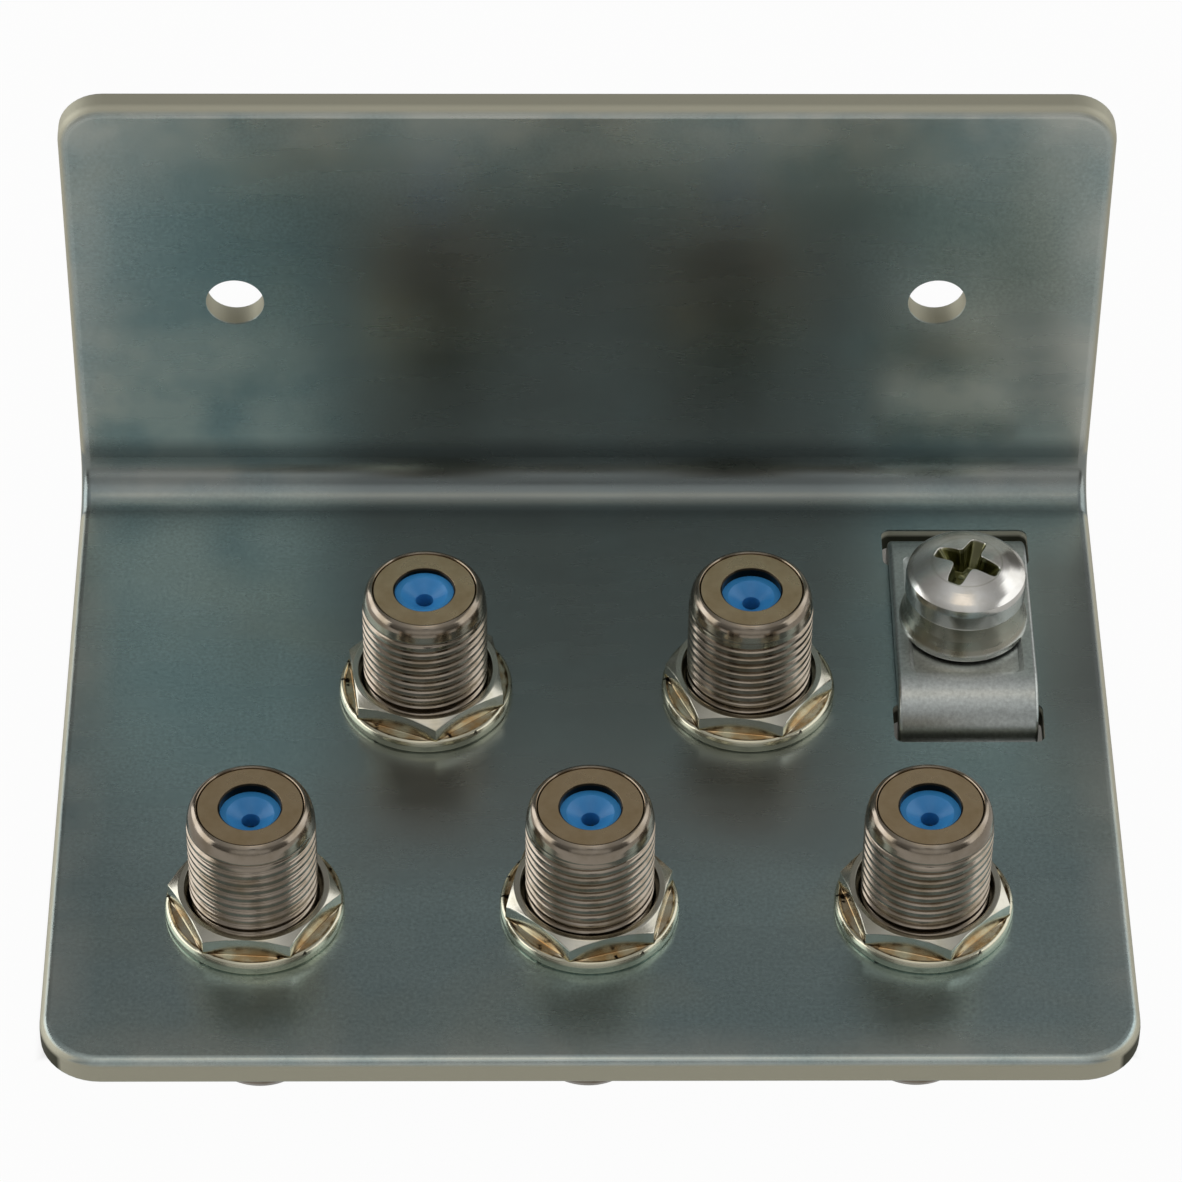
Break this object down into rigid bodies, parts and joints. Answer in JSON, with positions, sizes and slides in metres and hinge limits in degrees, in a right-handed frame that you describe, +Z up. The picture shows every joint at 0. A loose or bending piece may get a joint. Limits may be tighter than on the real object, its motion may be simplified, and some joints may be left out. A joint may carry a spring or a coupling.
{
  "type": "coaxial grounding block",
  "caption": "Grounding block that bonds coaxial cables to earth: threaded F ports through a bent steel wall bracket, with a screw-down strap for the ground wire.",
  "frame": {"origin": "back face of the wall leg, midway between its two screw holes", "axes": "+Z up along the ports, +Y out of the back of the wall leg into the wall, +X to the right seen from the front"},
  "size_m": [0.08, 0.0629, 0.0537],
  "materials": {
    "zinc_sheet": "bright zinc plate on steel sheet, slightly mottled",
    "nickel_brass": "nickel plate on turned brass",
    "nickel_nut": "nickel plate with a pale yellow cast, polished",
    "nickel_steel": "nickel plate on steel, polished",
    "blue_insulator": "moulded, slightly glossy",
    "contact_bronze": "spring bronze"
  },
  "bodies": {
    "block": {"bracket": "zinc_sheet", "front_left_barrel": "nickel_brass", "front_left_top_ring": "nickel_brass", "front_left_bottom_ring": "nickel_brass", "front_left_top_insulator": "blue_insulator", "front_left_bottom_insulator": "blue_insulator", "front_left_contact": "contact_bronze", "front_left_flange_nut": "nickel_nut", "front_middle_barrel": "nickel_brass", "front_middle_top_ring": "nickel_brass", "front_middle_bottom_ring": "nickel_brass", "front_middle_top_insulator": "blue_insulator", "front_middle_bottom_insulator": "blue_insulator", "front_middle_contact": "contact_bronze", "front_middle_flange_nut": "nickel_nut", "front_right_barrel": "nickel_brass", "front_right_top_ring": "nickel_brass", "front_right_bottom_ring": "nickel_brass", "front_right_top_insulator": "blue_insulator", "front_right_bottom_insulator": "blue_insulator", "front_right_contact": "contact_bronze", "front_right_flange_nut": "nickel_nut", "back_left_barrel": "nickel_brass", "back_left_top_ring": "nickel_brass", "back_left_bottom_ring": "nickel_brass", "back_left_top_insulator": "blue_insulator", "back_left_bottom_insulator": "blue_insulator", "back_left_contact": "contact_bronze", "back_left_flange_nut": "nickel_nut", "back_right_barrel": "nickel_brass", "back_right_top_ring": "nickel_brass", "back_right_bottom_ring": "nickel_brass", "back_right_top_insulator": "blue_insulator", "back_right_bottom_insulator": "blue_insulator", "back_right_contact": "contact_bronze", "back_right_flange_nut": "nickel_nut"},
    "ground_clamp": {"ground_strap": "zinc_sheet", "cup_washer": "nickel_steel"},
    "ground_screw": {"ground_screw": "nickel_steel"}
  },
  "joints": [
    {"name": "clamp_lift", "type": "slide", "parent": "block", "child": "ground_clamp", "axis": [0, 0, 1], "range_m": [0, 0.003]},
    {"name": "screw_turn", "type": "hinge", "parent": "ground_clamp", "child": "ground_screw", "pos_m": [0.02915, -0.01895, -0.01445], "axis": [0, 0, 1], "range_deg": [0, 1400]}
  ],
  "couplings": [
    {"joint": "screw_turn", "follows": "clamp_lift", "rad_per_m": 7915.8}
  ]
}
